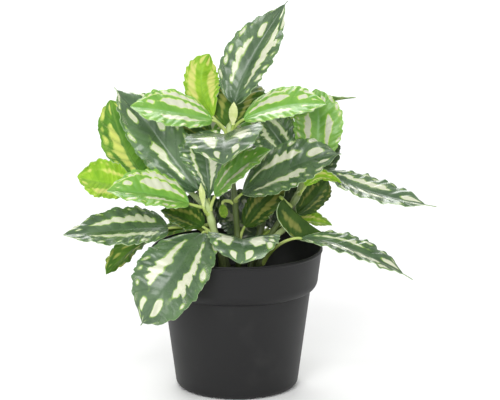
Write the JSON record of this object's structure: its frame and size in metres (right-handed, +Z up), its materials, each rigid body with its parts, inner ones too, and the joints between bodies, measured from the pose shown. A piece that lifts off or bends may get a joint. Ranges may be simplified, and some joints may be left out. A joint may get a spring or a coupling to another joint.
{
  "type": "potted foliage plant",
  "caption": "Small bushy foliage plant with striped toothed leaves on thin stems, held by a plug in a round tapered nursery pot with a collar.",
  "frame": {"origin": "middle of the pot's flat base, on the surface that it stands on", "axes": "+Z up along the pot's axis, -Y towards the side that the picture shows, +X to its right"},
  "size_m": [0.1941, 0.1268, 0.2037],
  "materials": {
    "pot": "matt moulded",
    "plug": "rough, dark",
    "stem_dark": "satin",
    "stem_pale": "satin",
    "leaf_dark": "soft gloss, printed with cream stripes and spots",
    "leaf_bright": "soft gloss, printed with cream stripes and spots"
  },
  "bodies": {
    "root": {"leaf_back_centre": "leaf_dark", "leaf_back_centre_low": "leaf_dark", "leaf_back_left": "leaf_dark", "leaf_back_left_drop": "leaf_dark", "leaf_back_left_high": "leaf_bright", "leaf_back_left_inner": "leaf_dark", "leaf_back_left_low": "leaf_dark", "leaf_back_left_top": "leaf_dark", "leaf_back_right": "leaf_dark", "leaf_back_right_drop": "leaf_dark", "leaf_back_right_low": "leaf_dark", "leaf_back_top": "leaf_dark", "leaf_back_top_left": "leaf_bright", "leaf_bud_left": "leaf_bright", "leaf_bud_top": "leaf_bright", "leaf_centre_bright": "leaf_bright", "leaf_centre_shaded": "leaf_dark", "leaf_centre_small": "leaf_bright", "leaf_front": "leaf_dark", "leaf_front_left": "leaf_dark", "leaf_left_bright": "leaf_bright", "leaf_left_glossy": "leaf_dark", "leaf_left_hanging": "leaf_dark", "leaf_left_high": "leaf_dark", "leaf_left_inner": "leaf_dark", "leaf_left_low": "leaf_dark", "leaf_left_pale": "leaf_bright", "leaf_left_shaded": "leaf_dark", "leaf_left_tall": "leaf_dark", "leaf_right_back": "leaf_dark", "leaf_right_far": "leaf_dark", "leaf_right_inner": "leaf_dark", "leaf_right_low": "leaf_dark", "leaf_right_out": "leaf_dark", "leaf_right_pale": "leaf_bright", "leaf_right_shaded": "leaf_dark", "leaf_right_small": "leaf_bright", "leaf_right_top": "leaf_bright", "leaf_right_under": "leaf_dark", "leaf_right_wide": "leaf_dark", "leaf_top_left": "leaf_bright", "leaf_top_right": "leaf_dark", "leaf_upper_back": "leaf_dark", "leaf_upper_front": "leaf_dark", "leaf_upper_left": "leaf_bright", "leaf_upper_right": "leaf_bright", "plug": "plug", "pot": "pot", "stem_back_left": "stem_dark", "stem_back_right": "stem_dark", "stem_centre": "stem_dark", "stem_left": "stem_dark", "stem_left_front": "stem_pale", "stem_right": "stem_dark", "stem_right_low": "stem_dark"}
  },
  "joints": []
}
